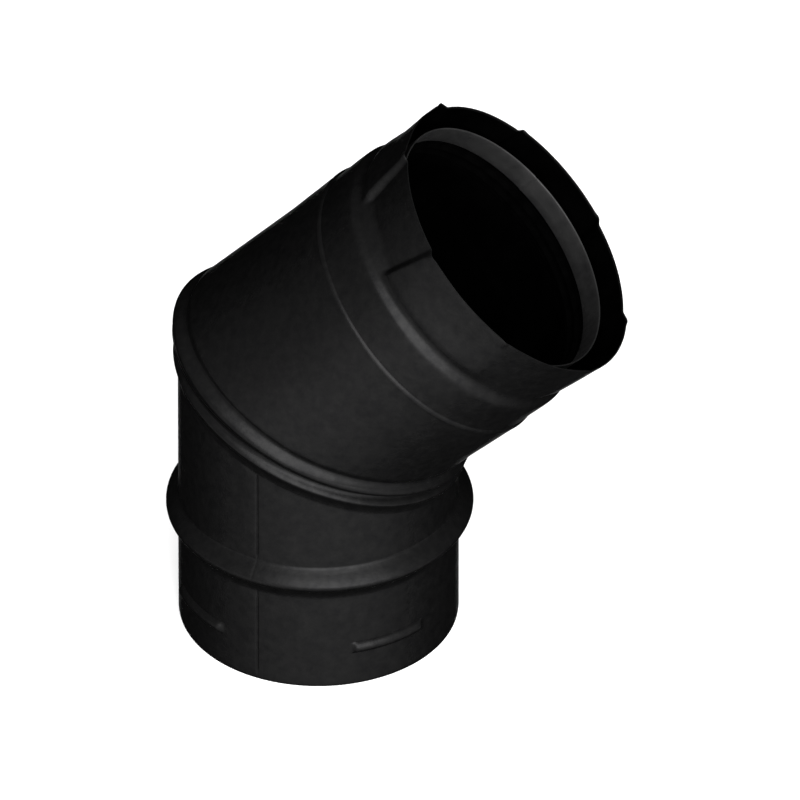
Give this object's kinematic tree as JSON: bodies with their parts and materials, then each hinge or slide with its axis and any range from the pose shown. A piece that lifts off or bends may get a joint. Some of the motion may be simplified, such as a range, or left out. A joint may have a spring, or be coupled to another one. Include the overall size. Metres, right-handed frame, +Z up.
{
  "type": "flue elbow",
  "caption": "Double-wall 45 degree flue elbow in black-painted steel, with a lugged male spigot below a stop bead and a wider twist-lock female socket above the mitred rib joint.",
  "frame": {"origin": "centre of the lower edge of the male spigot", "axes": "+Z up the axis of the lower leg, away from the spigot edge; the upper leg leans 45 degrees towards +X in the XZ plane"},
  "size_m": [0.1343, 0.0898, 0.1709],
  "materials": {
    "casing_paint": "matt heat-resistant black with a fine grain",
    "liner_steel": "dark satin",
    "gasket_rubber": "matt",
    "spacer_steel": "plain zinc-coated"
  },
  "bodies": {
    "root": {"casing_lower_gore": "casing_paint", "casing_upper_gore": "casing_paint", "casing_collar": "casing_paint", "liner_lower_gore": "liner_steel", "liner_upper_gore": "liner_steel", "socket_gasket": "gasket_rubber", "spacer_lower": "spacer_steel", "spacer_upper": "spacer_steel"}
  },
  "joints": []
}
